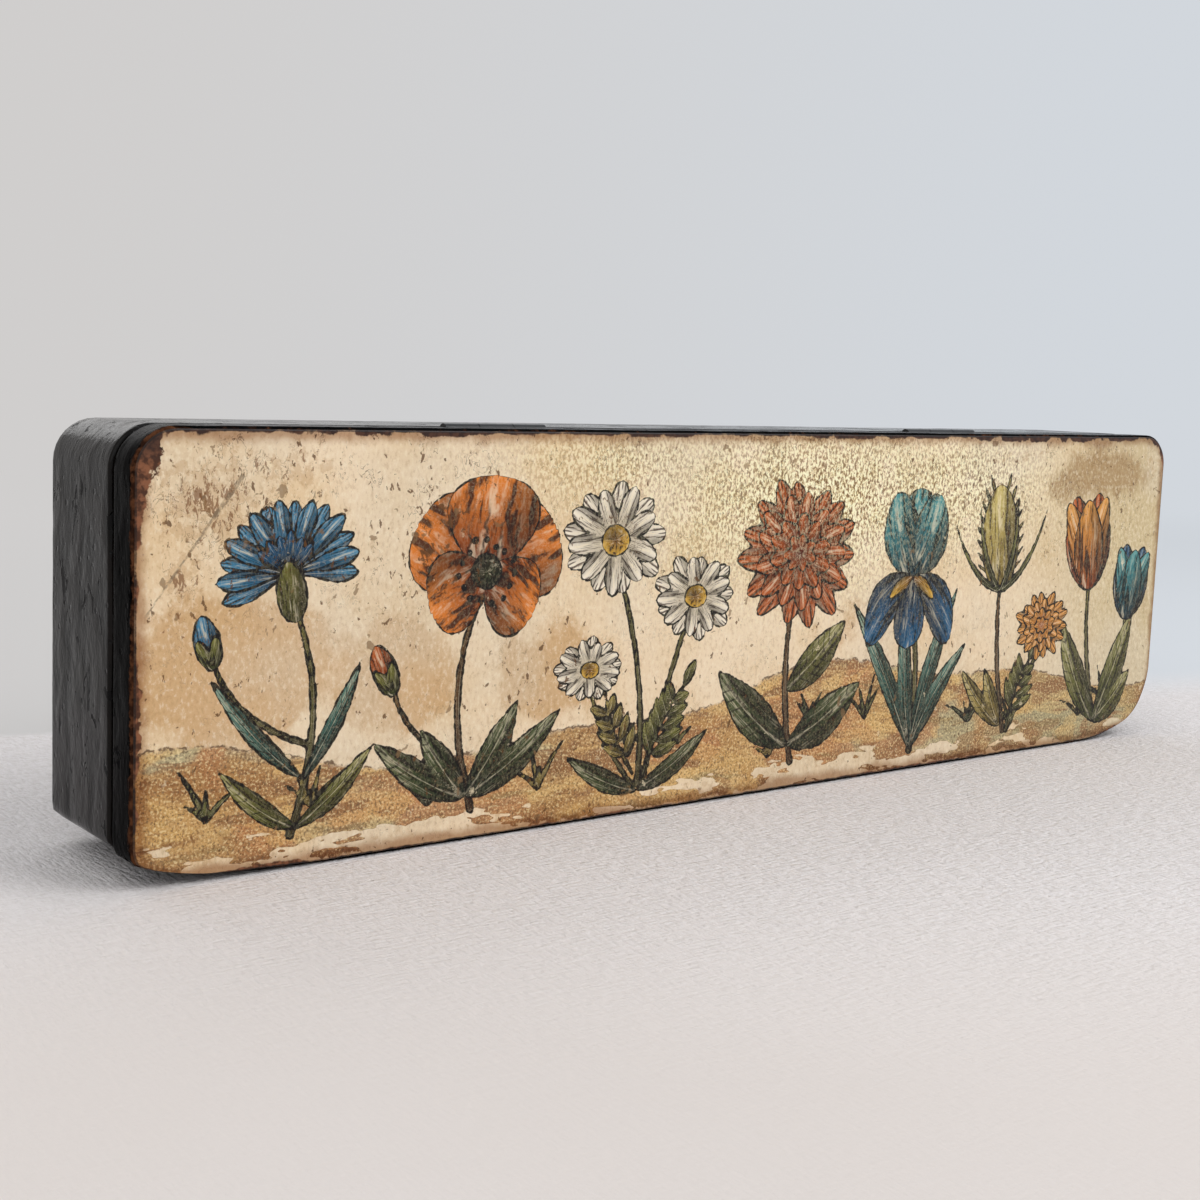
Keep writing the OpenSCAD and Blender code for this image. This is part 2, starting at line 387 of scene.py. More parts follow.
def edge_distance(points, corner):
    """How far each point of a flat face lies inside its outline, which has round corners."""
    over = np.abs(points[:, [0, 2]] - [0, MID_Z]) - [STRAIGHT_L, STRAIGHT_H]
    outside = np.hypot(*np.clip(over, 0, None).T)
    within = np.minimum(over.max(axis=1), 0)
    return corner - outside - within


def make_panel(name, node, body, into, edge_round, grid, uneven_face, left_rub, material):
    """A plate of the box, whose outer edge is rounded. into is the way from its face into it, along y."""
    face_y, joint_y = end_planes(node, into)
    turn = np.linspace(pi / 2, 0, ROUND_COUNT)[1:]
    rings = [(edge_round * cos(t), face_y + into * edge_round * (1 - sin(t))) for t in turn]
    rings += [(edge_round, y) for y in np.linspace(rings[-1][1], joint_y, 3)[1:]]
    corner = CORNER_R - edge_round
    points, faces, ways, face_count, _ = slab_mesh(corner, grid, face_y, rings)
    inside = edge_distance(points[:face_count], corner)
    wear = np.exp(-np.abs(points[:, 1] - face_y) / WEAR_REACH)
    wear[:face_count] = np.exp(-inside / WEAR_REACH)
    loss = relief(points, SWELLS)
    edge_loss = loss + PANEL_KNOCK * dents(points) * wear
    edge_loss[:face_count] = 0
    points[:, [0, 2]] -= ways * edge_loss[:, None]
    if uneven_face:
        points[:face_count, 1] += into * loss[:face_count] * np.clip(inside / FACE_EASE, 0, 1)
    at_left = np.clip((-points[:, 0] - RUB_START) / RUB_LENGTH, 0, 1)
    piece = make_piece(name, points, faces, body, node, material, into < 0)
    store(piece, "edge_wear", wear * (1 + left_rub * at_left))


# Colours

def rgb(code):
    """Linear colour of a six-digit sRGB code."""
    parts = [int(code[i:i + 2], 16) / 255 for i in (0, 2, 4)]
    linear = [p / 12.92 if p <= 0.04045 else ((p + 0.055) / 1.055) ** 2.4 for p in parts]
    return (*linear, 1.0)


# The picture: plants in bloom, drawn as layers of shapes that the material prints over each other

FAR = 9.0
STEM_PARTS = 24
LAYERS = ("stems", "leaves", "sprays", "outer", "middle", "inner", "hearts")


def path_gap(x, z, path):
    """Distance from each point to a path, with the nearest place's share of its length and the side."""
    ways = np.diff(path, axis=0)
    off = np.column_stack([x, z])[:, None] - path[:-1]
    share = np.clip((off * ways).sum(-1) / (ways ** 2).sum(-1), 0, 1)
    gap = np.linalg.norm(off - share[..., None] * ways, axis=-1)
    side = np.sign(off[..., 0] * ways[:, 1] - off[..., 1] * ways[:, 0])
    best = np.arange(len(x)), gap.argmin(1)
    return gap[best], (best[1] + share[best]) / len(ways), side[best]


class Layer:
    """One printing: for each point, the distance to the nearest shape's edge, its place and its colour."""

    def __init__(self, x, z):
        self.x, self.z = x, z
        self.edge = np.full(len(x), FAR)
        self.along = np.zeros(len(x))
        self.across = np.zeros(len(x))
        self.tone = np.zeros((len(x), 4))

    def near(self, at, reach):
        return np.nonzero((np.abs(self.x - at[0]) < reach) & (np.abs(self.z - at[1]) < reach))[0]

    def put(self, where, edge, along, across, tones):
        closer = edge < self.edge[where]
        here = where[closer]
        share = np.clip(along[closer], 0, 1)[:, None]
        self.edge[here] = edge[closer]
        self.along[here] = share[:, 0]
        self.across[here] = across[closer]
        self.tone[here] = np.array(rgb(tones[0])) * (1 - share) + np.array(rgb(tones[1])) * share

    def blade(self, at, angle, length, width, tones, bend, belly, fullness):
        """A petal or leaf, angle degrees clockwise from upright. A belly over 1 is widest near the tip."""
        where = self.near(at, length * (1 + abs(bend)) + width / 2 + 2)
        dx, dz = self.x[where] - at[0], self.z[where] - at[1]
        turn = radians(angle)
        s = dx * sin(turn) + dz * cos(turn)
        u = s / length
        t = dx * cos(turn) - dz * sin(turn) - bend * length * u * np.abs(u)

        def half(u):
            return width / 2 * np.sin(pi * np.clip(u, 0, 1) ** belly) ** fullness

        slope = np.clip((half(u + 0.01) - half(u - 0.01)) / (0.02 * length), -1.5, 1.5)
        edge = (np.abs(t) - half(u)) / np.sqrt(1 + slope ** 2)
        past = np.maximum(-s, s - length)
        edge = np.where(past > 0, np.hypot(past, t), edge)
        self.put(where, edge, u, t / (width / 2), tones)

    def stroke(self, start, bow, end, widths, tones):
        """A curved stem from start to end, bowed towards a third point."""
        t = np.linspace(0, 1, STEM_PARTS + 1)[:, None]
        path = (1 - t) ** 2 * start + 2 * t * (1 - t) * bow + t ** 2 * end
        low, high = path.min(0), path.max(0)
        where = self.near((low + high) / 2, (high - low).max() / 2 + 3)
        gap, along, side = path_gap(self.x[where], self.z[where], path)
        half = (widths[0] + (widths[1] - widths[0]) * along) / 2
        self.put(where, gap - half, along, side * gap / half, tones)

    def disc(self, at, radius, tones, squash=1.0):
        where = self.near(at, radius + 2)
        dx, dz = self.x[where] - at[0], (self.z[where] - at[1]) / squash
        far = np.hypot(dx, dz)
        self.put(where, far - radius, far / radius, np.arctan2(dz, dx) / pi, tones)


OLIVE_LEAF = ("39401f", "93904e")
DARK_LEAF = ("1a261e", "5d6a42")
TEAL_LEAF = ("12302f", "5a8f84")
BUFF_LEAF = ("6c5a2c", "b5a560")
STEM = ("4a4524", "7a743c")
BROWN_STEM = ("4a2c17", "7a5a30")
POPPY = ("68200f", "e8923e")
RUSSET = ("561a0e", "c87034")
AMBER = ("94481f", "e4aa58")
WHITE = ("b5a78e", "f8efdf")
BLUE = ("0f2748", "4f96b6")
NAVY = ("0b1424", "2f7096")
TEAL = ("0f3040", "5fa6a8")
STRAW = ("84702e", "d2c07a")
HEART_GOLD = ("7c4e18", "dcb552")
HEART_DARK = ("140f10", "2b2028")
CUP = ("4a4a26", "7d7a40")


class Garden:
    """Draws each kind of plant into the layers."""

    def __init__(self, x, z):
        self.layers = {name: Layer(x, z) for name in LAYERS}
        self.dice = np.random.default_rng(11)

    def vary(self, value, share=0.08):
        return value * (1 + share * self.dice.uniform(-1, 1))

    def along(self, at, angle, far):
        turn = radians(angle)
        return (at[0] + far * sin(turn), at[1] + far * cos(turn))

    def petal(self, layer, *values):
        self.layers[layer].blade(*values)

    def pair(self, layer, at, lean, angle, length, width, tones, bend, belly, fullness):
        """Two petals, one to each side."""
        for side in (-1, 1):
            self.petal(layer, at, lean + side * angle, length, width, tones, side * bend, belly, fullness)

    def stem(self, start, bow, end, width=0.9, tones=STEM):
        self.layers["stems"].stroke(start, bow, end, (width * 1.25, width * 0.8), tones)

    def leaf(self, at, angle, length, width, bend, tones, layer="leaves", belly=0.9):
        self.petal(layer, at, angle, length, width, tones, bend, belly, 0.85)

    def tuft(self, at, leaves, width, tones):
        """Leaves from one point, each given as (angle, length, bend)."""
        for angle, length, bend in leaves:
            self.leaf(at, angle, length, width, bend, tones)

    def ring(self, layer, at, count, length, width, tones, turn, belly, fullness, squash):
        """Petals all round a point. A squash below 1 turns the flower away from the viewer."""
        for k in range(count):
            lean = radians(turn + 360 * k / count + self.dice.uniform(-3, 3))
            reach = hypot(sin(lean), squash * cos(lean))
            seen = degrees(atan2(sin(lean), squash * cos(lean)))
            self.petal(layer, at, seen, self.vary(length * reach), width, tones,
                       self.dice.uniform(-0.06, 0.06), belly, fullness)

    def daisy(self, at, radius, turn, squash=0.9):
        self.ring("outer", at, 9, radius, radius * 0.36, WHITE, turn, 1.5, 0.5, squash)
        self.ring("middle", at, 9, radius * 0.93, radius * 0.33, WHITE, turn + 20, 1.5, 0.5, squash)
        self.layers["hearts"].disc(at, radius * 0.27, HEART_GOLD, squash)

    def poppy(self, at, radius, lean):
        broad = radius * 1.12
        self.pair("outer", at, lean, 62, radius, broad, POPPY, 0.0, 1.35, 0.42)
        self.petal("middle", at, lean, radius * 1.02, broad * 1.05, POPPY, 0.05, 1.5, 0.4)
        self.pair("inner", at, lean, 118, radius * 0.78, radius * 0.86, POPPY, 0.12, 1.4, 0.42)
        heart = self.layers["hearts"]
        for k in range(15):
            heart.disc(self.along(at, 24 * k, radius * self.vary(0.33, 0.15)), 0.42, HEART_DARK)
        heart.disc(at, radius * 0.19, ("3c4426", "1a1c14"))

    def dahlia(self, at, radius, tones=RUSSET, squash=0.92):
        for layer, count, share, wide, turn in (
                ("outer", 15, 1.0, 0.33, 0), ("middle", 13, 0.77, 0.3, 9), ("inner", 10, 0.52, 0.25, 4)):
            self.ring(layer, at, count, radius * share, radius * wide, tones, turn, 1.25, 0.6, squash)
        self.ring("hearts", at, 7, radius * 0.27, radius * 0.15, tones, 12, 1.1, 0.6, squash)

    def cornflower(self, at, radius, lean):
        """Seen from the side: a fan of split florets over a scaly cup."""
        for angle in range(-84, 85, 28):
            way = lean + angle + self.dice.uniform(-4, 4)
            long = self.vary(radius * (1.0 if abs(angle) > 30 else 0.92))
            self.pair("outer", at, way, 15, long * 0.96, radius * 0.24, BLUE, 0.0, 2.0, 0.75)
            self.petal("middle", at, way, long, radius * 0.26, BLUE, 0.0, 2.0, 0.75)
        for angle in range(-48, 49, 19):
            long = self.vary(radius * 0.52)
            self.petal("inner", at, lean + angle, long, radius * 0.15, NAVY, 0.0, 1.6, 0.7)
        base = self.along(at, lean + 180, radius * 0.62)
        self.petal("hearts", base, lean, radius * 0.78, radius * 0.42, CUP, 0.0, 0.9, 0.55)

    def tulip(self, at, height, lean, tones=AMBER, back=RUSSET):
        self.pair("outer", at, lean, 17, height, height * 0.48, back, -0.1, 0.95, 0.62)
        self.pair("middle", at, lean, 9, height * 0.97, height * 0.4, tones, 0.16, 0.85, 0.62)
        self.petal("inner", at, lean, height * 0.93, height * 0.46, tones, 0.02, 0.9, 0.6)

    def iris(self, at, size, lean):
        """Three petals that stand and three that hang, two of these with a golden tongue."""
        self.petal("outer", at, lean, size * 0.62, size * 0.44, TEAL, 0.03, 1.1, 0.55)
        self.pair("middle", at, lean, 34, size * 0.6, size * 0.36, TEAL, -0.22, 1.2, 0.55)
        self.pair("inner", at, lean, 112, size * 0.56, size * 0.34, NAVY, 0.42, 1.6, 0.5)
        self.pair("hearts", at, lean, 112, size * 0.26, size * 0.09, HEART_GOLD, 0.21, 1.0, 0.6)
        self.petal("hearts", at, lean + 180, size * 0.5, size * 0.3, NAVY, 0.04, 1.6, 0.5)

    def teasel(self, at, length, lean):
        width = length * 0.52
        for k in range(9):
            share = 0.08 + 0.86 * k / 8
            middle = self.along(at, lean, length * share)
            half = width / 2 * sin(pi * min(share, 0.97)) ** 0.5
            for side in (-1, 1):
                start = self.along(middle, lean + 90 * side, half * 0.8)
                angle = lean + side * (70 - 55 * share)
                self.petal("outer", start, angle, length * 0.17, 0.7, BUFF_LEAF, 0.0, 0.7, 0.8)
        self.petal("middle", at, lean, length, width, STRAW, 0.0, 0.95, 0.5)
        for angle, bend in ((-72, 0.6), (-40, 0.4), (38, -0.4), (74, -0.6)):
            self.petal("inner", at, lean + angle, length * 0.85, 1.3, OLIVE_LEAF, bend, 0.6, 0.8)

    def bud(self, at, length, lean, tones):
        self.petal("middle", at, lean, length, length * 0.5, tones, 0.0, 1.0, 0.6)
        self.pair("inner", at, lean, 18, length * 0.62, length * 0.26, OLIVE_LEAF, 0.0, 0.8, 0.7)

    def spray(self, start, angle, length, tones, count, leaf):
        """A sprig with leaves on both sides."""
        end = self.along(start, angle, length)
        bow = self.along(start, angle - 12, length * 0.6)
        self.layers["sprays"].stroke(start, bow, end, (0.6, 0.4), tones)
        for k in range(count):
            at = self.along(start, angle - 4, length * (0.25 + 0.7 * k / count))
            for side in (-1, 1):
                self.leaf(at, angle + side * 52, self.vary(leaf * (1 - 0.1 * k)), leaf * 0.34,
                          -0.15 * side, tones, "sprays")
        self.leaf(end, angle, leaf * 0.8, leaf * 0.3, 0.0, tones, "sprays")

    def grass(self):
        """Small tufts of fine blades."""
        for k in range(15):
            at = (-108 + 216 * (k + self.dice.uniform(0.2, 0.8)) / 15, self.dice.uniform(5, 12))
            for lean in (-34, -14, 6, 26):
                lean += self.dice.uniform(-7, 7)
                self.leaf(at, lean, self.dice.uniform(4, 9), 0.75, lean / 110,
                          (OLIVE_LEAF, BUFF_LEAF, DARK_LEAF)[k % 3], "stems", 0.6)

    def plant_left(self):
        """The beds left of the middle."""
        # Blue florets
        self.stem((-91, 5), (-84, 24), (-91, 39))
        self.cornflower((-91.5, 43), 11.5, -8)
        self.stem((-88, 18), (-100, 22), (-103, 31), 0.7)
        self.bud((-103, 30), 8, -14, BLUE)
        self.tuft((-89, 13), ((-52, 21, 0.16), (36, 19, -0.12)), 2.6, TEAL_LEAF)
        self.tuft((-90, 6), ((-66, 15, 0.25), (60, 16, -0.2)), 3.2, OLIVE_LEAF)
        # Poppies
        self.stem((-60, 5), (-66, 24), (-59, 38), 1.0, BROWN_STEM)
        self.poppy((-58, 42), 14.5, 6)
        self.stem((-62, 12), (-73, 18), (-74, 25), 0.7, BROWN_STEM)
        self.bud((-74, 24), 8.5, -24, RUSSET)
        leaves = ((-70, 19, 0.2), (-42, 14, 0.1), (42, 17, -0.15), (68, 21, -0.22))
        self.tuft((-61, 7), leaves, 4.8, DARK_LEAF)
        # Daisies
        self.stem((-27, 5), (-25, 24), (-33, 43))
        self.stem((-26, 5), (-22, 20), (-16, 35))
        self.stem((-28, 5), (-36, 14), (-37, 22), 0.7)
        self.daisy((-33, 46), 10.5, 4)
        self.daisy((-15.5, 36), 9.0, 11, 0.8)
        self.daisy((-37.5, 25), 7.0, 0, 0.75)
        self.spray((-26, 6), 30, 17, OLIVE_LEAF, 5, 6.5)
        self.spray((-28, 7), -24, 15, BUFF_LEAF, 4, 5.5)
        self.tuft((-27, 4), ((-76, 16, 0.2), (72, 17, -0.22)), 3.6, DARK_LEAF)

    def plant_right(self):
        """The beds right of the middle."""
        # Russet bloom
        self.stem((8, 5), (4, 22), (8, 38), 1.1, BROWN_STEM)
        self.dahlia((8.5, 42.5), 14.5)
        self.tuft((7, 8), ((-58, 22, 0.16), (72, 20, -0.2)), 7.5, DARK_LEAF)
        self.leaf((6.5, 18), 58, 18, 6.5, -0.14, OLIVE_LEAF)
        # Iris with sword leaves
        self.stem((39, 4), (41, 18), (38, 34), 1.2)
        self.iris((38, 37), 27, 3)
        leaves = ((-24, 33, -0.1), (-10, 28, 0.06), (14, 32, 0.12), (28, 24, 0.16))
        self.tuft((39, 4), leaves, 3.8, TEAL_LEAF)
        # Seed head and a small amber bloom
        self.stem((66, 5), (62, 20), (63, 34), 1.0, BROWN_STEM)
        self.teasel((63, 33), 21, -3)
        self.stem((67, 5), (73, 14), (76, 22), 0.8)
        self.dahlia((76.5, 25.5), 8.0, AMBER, 0.85)
        self.spray((67, 6), 26, 14, OLIVE_LEAF, 4, 6.0)
        self.tuft((65, 6), ((-56, 17, 0.2), (-30, 13, 0.1)), 3.8, BUFF_LEAF)
        # Tulips
        self.stem((95, 5), (90, 20), (91, 33), 1.1)
        self.tulip((91, 32), 20, -5)
        self.stem((97, 5), (104, 16), (104, 26), 1.0)
        self.tulip((104, 25), 16, 8, TEAL, NAVY)
        self.tuft((95, 4), ((-38, 25, 0.16), (32, 25, -0.1), (60, 15, -0.2)), 6.2, OLIVE_LEAF)


def blobs(x, z, places):
    """Soft patches, each given as (x, z, half width, half height, strength)."""
    px, pz, wide, high, strength = np.array(places).T
    far = ((x[:, None] - px) / wide) ** 2 + ((z[:, None] - pz) / high) ** 2
    return (strength * np.exp(-far)).max(1)


def bank_top(x):
    """Height of the ground that the plants stand on."""
    return 16 + 3.5 * np.sin(x / 24 + 0.6) + 1.6 * np.sin(x / 9.5) + 2.0 * np.cos(x / 61)


# Where the print has aged, as (x, z, half width, half height, strength). The gilt patches also carry a
# painted sheen of bright flecks.
GILT_AND_SHEEN = [(14, 52, 36, 13, 1.0), (46, 53, 26, 11, 0.8), (-30, 58, 22, 7, 0.5), (100, 40, 14, 16, 0.1)]
STAINS = [(-100, 30, 17, 11, 1.0), (-74, 27, 12, 9, 0.9), (-45, 25, 12, 9, 0.8), (22, 28, 14, 7, 0.4)]
SCORCHES = [(94, 56, 16, 6, 1.3), (83, 54, 9, 5, 1.0), (112, 62, 20, 3, 0.6), (110, 26, 4, 12, 0.4),
            (-20, 61, 12, 3, 0.3)]
SCUFFS = [(-104, 53, 9, 8, 1.0), (-92, 58, 10, 4, 0.8), (-108, 42, 4, 9, 0.8), (-106, 6, 9, 4, 0.7),
          (66, 60, 26, 2.5, 0.6), (110, 58, 6, 5, 0.6), (-30, 3, 60, 2, 0.5)]
SPECKS = [(-70, 47, 12, 12, 1.0), (-98, 50, 12, 12, 0.7), (-52, 22, 10, 8, 0.5), (60, 54, 20, 8, 0.5)]
# Where the print's edge has worn off, with the width that is bare as the strength
BARE = [(-113, 60, 7, 9, 3.0), (-114, 46, 3, 6, 1.2), (-114, 29, 3, 2.5, 1.6), (-114, 21.5, 3, 4, 2.4),
        (-114, 9, 3, 3, 0.9), (-72, 64, 26, 3, 1.1), (-24, 64, 26, 3, 0.8), (22, 64, 24, 3, 1.0),
        (76, 64, 34, 3, 1.6), (112, 62, 6, 5, 1.2), (-95, 0, 22, 3, 0.9), (-35, 0, 16, 3, 0.6),
        (40, 0, 30, 3, 0.5), (105, 2, 10, 4, 0.8)]
# A long scratch, and a wider one beside its upper end
SCRATCH = ((-99, 57), (-113, 38))
WIDE_SCRATCH = ((-99, 57), (-103, 51.5))
WIDE_MORE = 0.2
# The sheet's edge is eased by so much, in steps given as (share of this, depth).
SHEET_EASE = 0.2
SHEET_STEPS = ((0.6, 0.05), (1.0, 0.14))


def make_picture(material):
    """The printed sheet on the lid."""
    face_y, back_y = end_planes("lid_picture", 1)
    corner = CORNER_R - TOP_ROUND
    rings = [(SHEET_EASE * share, face_y + deep) for share, deep in SHEET_STEPS] + [(SHEET_EASE, back_y)]
    points, faces, _, face_count, loop = slab_mesh(corner - SHEET_EASE, PICTURE_GRID, face_y, rings)
    source = np.concatenate([np.arange(face_count)] + [loop] * len(rings))
    face = points[:face_count].copy()
    x, z = face[:, 0], face[:, 2]
    garden = Garden(x, z)
    garden.grass()
    garden.plant_left()
    garden.plant_right()
    rim = edge_distance(face, corner)
    points[:face_count, 1] += relief(face, PAPER_SWELLS) * np.clip(rim / PAPER_EASE, 0, 1)
    piece = make_piece("lid_print", points, faces, "lid", "lid_picture", material)
    for name, layer in garden.layers.items():
        shape = np.column_stack([layer.edge, layer.along, layer.across])
        store(piece, f"{name}_shape", shape[source])
        store(piece, f"{name}_tone", layer.tone[source])
    scratch = np.minimum(path_gap(x, z, SCRATCH)[0], path_gap(x, z, WIDE_SCRATCH)[0] - WIDE_MORE)
    age_and_sheen = [blobs(x, z, places) for places in (GILT_AND_SHEEN, STAINS, SCORCHES)]
    harm = [blobs(x, z, SCUFFS), blobs(x, z, SPECKS), scratch]
    lie = [bank_top(x) - z, rim, blobs(x, z, BARE)]
    for name, values in (("age_and_sheen", age_and_sheen), ("harm", harm), ("lie", lie)):
        store(piece, name, np.column_stack(values)[source])


# Materials

class Nodes:
    """Adds nodes to a tree. A value may be a number, a colour or another node's output."""

    def __init__(self, tree):
        self.tree = tree
        tree.nodes.clear()

    def add(self, kind, values=None, **settings):
        made = self.tree.nodes.new("ShaderNode" + kind)
        for name, value in settings.items():
            setattr(made, name, value)
        for name, value in (values or {}).items():
            self.feed(made.inputs[name], value)
        return made

    def feed(self, socket, value):
        if isinstance(value, bpy.types.NodeSocket):
            self.tree.links.new(value, socket)
        else:
            socket.default_value = value

    def math(self, operation, *values):
        return self.add("Math", dict(enumerate(values)), operation=operation).outputs[0]

    plus = partialmethod(math, "ADD")
    less = partialmethod(math, "SUBTRACT")
    times = partialmethod(math, "MULTIPLY")
    most = partialmethod(math, "MAXIMUM")
    size = partialmethod(math, "ABSOLUTE")
    # The first value times the second, plus the third
    blend = partialmethod(math, "MULTIPLY_ADD")

    def vector(self, operation, *values, output=0):
        made = self.add("VectorMath", dict(enumerate(values)), operation=operation)
        return made.outputs[output]

    def step(self, value, low, high):
        """Rises smoothly from 0 at low to 1 at high, or falls where low is the larger."""
        values = {"Value": value, "From Min": low, "From Max": high}
        return self.add("MapRange", values, interpolation_type="SMOOTHSTEP").outputs[0]

    def mix(self, share, first, second, blend="MIX"):
        values = {0: share, 6: first, 7: second}
        return self.add("Mix", values, data_type="RGBA", blend_type=blend).outputs[2]

    def between(self, value, low, high, first, second):
        """Goes from one colour to another as a value rises."""
        return self.mix(self.step(value, low, high), rgb(first), rgb(second))

    def tint(self, share, strength, first, code):
        """Lays a colour over another where share is high."""
        return self.mix(self.times(share, strength), first, rgb(code))

    def washes(self, colour, rows):
        """Lays colours over another in turn, each given as (value, low, high, strength, code)."""
        for value, low, high, strength, code in rows:
            colour = self.tint(self.step(value, low, high), strength, colour, code)
        return colour

    def overlay(self, share, first, second, output):
        """Sends a mix of two shaders to the output."""
        mixed = self.add("MixShader", {0: share, 1: first.outputs[0], 2: second.outputs[0]})
        self.feed(output.inputs["Surface"], mixed.outputs[0])

    def seen(self):
        """1 for what the camera and the gloss see, and 0 for light."""
        rays = self.add("LightPath").outputs
        mirrored = self.most(rays["Is Glossy Ray"], rays["Is Transmission Ray"])
        return self.most(rays["Is Camera Ray"], mirrored)

    def backdrop(self, way):
        """The plain wall's colour in a direction: a little warmer at one end."""
        across = self.vector("DOT_PRODUCT", way, LEVEL, output="Value")
        return self.between(across, -0.35, 0.35, "d0cecd", "d2d7dd")


class Shader(Nodes):
    """One material, with coordinates in millimetres."""

    def __init__(self, name):
        self.material = bpy.data.materials.new(name)
        self.material.use_nodes = True
        super().__init__(self.material.node_tree)
        self.output = self.add("OutputMaterial")
        self.surface = self.add("BsdfPrincipled")
        self.feed(self.output.inputs["Surface"], self.surface.outputs[0])
        self.place = self.vector("SCALE", self.add("TexCoord").outputs["Object"])
        self.place.node.inputs["Scale"].default_value = 1 / MM

    def look(self, **values):
        """Sets the surface's own sockets, such as base_color or roughness."""
        for name, value in values.items():
            self.feed(self.surface.inputs[name.replace("_", " ").title().replace("Ior", "IOR")], value)

    def noise(self, scale, detail=2.0, roughness=0.5, distortion=0.0, vector=None):
        """Smooth noise. scale is per millimetre, alike or for each axis."""
        vector = vector or self.place
        if isinstance(scale, tuple):
            vector, scale = self.vector("MULTIPLY", vector, scale), 1.0
        values = {"Vector": vector, "Scale": scale, "Detail": detail, "Roughness": roughness}
        return self.add("TexNoise", {**values, "Distortion": distortion}).outputs["Fac"]

    def cells(self, scale):
        return self.add("TexVoronoi", {"Vector": self.place, "Scale": scale}).outputs["Distance"]

    def stored(self, name, output):
        return self.add("Attribute", attribute_name=name).outputs[output]

    def parts(self, vector):
        return self.add("SeparateXYZ", {0: vector}).outputs

    def bump(self, height, strength, distance):
        values = {"Height": height, "Strength": strength, "Distance": distance}
        self.look(normal=self.add("Bump", values).outputs[0])


def lacquer_material(name, dark, light, level, rough):
    """Black lacquer over paper: uneven strokes, nicks and pits with painted shade in them, and brown where
    the edges have worn through.
    """
    s = Shader(name)
    lumps = s.noise((0.2, 0.2, 0.1), 1.0, 0.4, 0.5)
    streaks = s.noise((0.42, 0.42, 0.2), 3.0, 0.6, 1.4)
    grain = s.noise((1.1, 1.1, 0.5), 3.0, 0.6, 0.3)
    nicks = s.step(s.noise((0.42, 0.42, 0.15), 3.0, 0.6, 0.8), 0.625, 0.66)
    pits = s.step(s.blend(s.noise(0.2), 0.5, s.cells(0.42)), 0.46, 0.3)
    wear = s.stored("edge_wear", "Fac")
    worn = s.blend(s.noise(0.7, 5.0, 0.65, 0.6), 0.5, s.times(wear, 0.22))
    worn = s.blend(s.noise(0.1, 3.0), 0.35, worn)
    rubbed = s.times(s.step(worn, 0.66, 0.74), s.step(wear, 0.15, 0.5))
    black = s.between(lumps, 0.3, 0.7, dark, light)
    black = s.tint(s.step(streaks, 0.5, 0.75), 0.12, black, "241f20")
    # Pits and nicks painted nearly black: painted shade in their hollows.
    black = s.tint(s.most(pits, nicks), 0.8, black, "030203")
    brown = s.between(s.noise(0.9, 4.0), 0.4, 0.65, "2c1a12", "583724")
    s.look(base_color=s.mix(rubbed, black, brown), specular_ior_level=level)
    dull = s.blend(s.most(nicks, rubbed), 0.3, s.blend(streaks, 0.12, rough))
    s.look(roughness=s.blend(s.step(s.noise(0.09, 4.0, 0.6, 0.5), 0.42, 0.64), 0.12, dull))
    height = s.blend(grain, 0.28, s.blend(streaks, 0.16, lumps))
    height = s.blend(nicks, -1.3, s.blend(pits, -0.2, height))
    s.bump(s.blend(rubbed, -0.25, height), 0.8, 0.0004)
    return s.material


class Print(Shader):
    """The print's material, with what the sheet stores and the noises that its parts share."""

    def __init__(self, name):
        super().__init__(name)
        self.x, _, self.z = self.parts(self.place)
        self.gilt, self.stain, self.scorch = self.parts(self.stored("age_and_sheen", "Vector"))
        self.scuff, self.speck, self.scratch = self.parts(self.stored("harm", "Vector"))
        self.bank, self.rim, self.bare = self.parts(self.stored("lie", "Vector"))
        self.wobble = self.noise(0.5)
        self.grain = self.noise(2.4, 3.0, 0.6)
        self.broken = self.noise(0.8, 3.0)
        self.patch = self.noise(0.17, 5.0, 0.6)
        self.ragged = self.noise(0.55, 6.0, 0.65)
        self.fibre = self.noise((1.5, 1.5, 0.95), 4.0, 0.7)


INK = "0e0807"


def print_veins(s, name, along, across):
    """Fine broken lines on a leaf or petal."""
    if name in ("leaves", "sprays"):
        rise = s.blend(s.size(across), -0.14, along)
        lines = s.step(s.math("PINGPONG", rise, 0.05), 0.014, 0.004)
        lines = s.most(lines, s.step(s.size(across), 0.12, 0.04))
    else:
        wave = s.math("PINGPONG", s.blend(s.wobble, 0.25, across), 0.17)
        lines = s.times(s.step(wave, 0.05, 0.01), s.step(along, 0.9, 0.4))
    return s.times(lines, s.step(s.broken, 0.34, 0.58))


def print_layer(s, below, number, name):
    """Prints one layer: a grained fill with brush strokes and veins, and a broken ink line round it."""
    edge, along, across = s.parts(s.stored(f"{name}_shape", "Vector"))
    edge = s.blend(s.wobble, 0.5, s.less(edge, 0.25))
    tone = s.add("Gamma", {0: s.stored(f"{name}_tone", "Color"), 1: 1.2}).outputs[0]
    flow = s.add("CombineXYZ", {0: s.times(along, 2.2), 1: s.times(across, 4.0), 2: number * 7.3})
    flow = s.noise(1.0, 3.0, 0.6, 0.3, flow.outputs[0])
    tone = s.mix(s.times(s.step(flow, 0.5, 0.62), 0.92), tone, rgb("3a2119"), "MULTIPLY")
    tone = s.washes(tone, (
        (flow, 0.47, 0.3, 0.5, "f6e8c8"),
        (s.blend(s.wobble, 0.4, across), 0.1, 0.95, 0.6, "150d09"),
    ))
    if name != "stems":
        tone = s.tint(print_veins(s, name, along, across), 0.85, tone, INK)
    solid = s.blend(s.step(s.grain, 0.66, 0.54), 0.16, 0.83)
    printed = s.mix(s.times(s.step(edge, 0.08, -0.08), solid), below, tone)
    width = s.blend(s.step(s.broken, 0.36, 0.6), 0.16, 0.05)
    return s.tint(s.step(s.less(s.size(edge), width), 0.06, -0.04), 0.98, printed, INK)


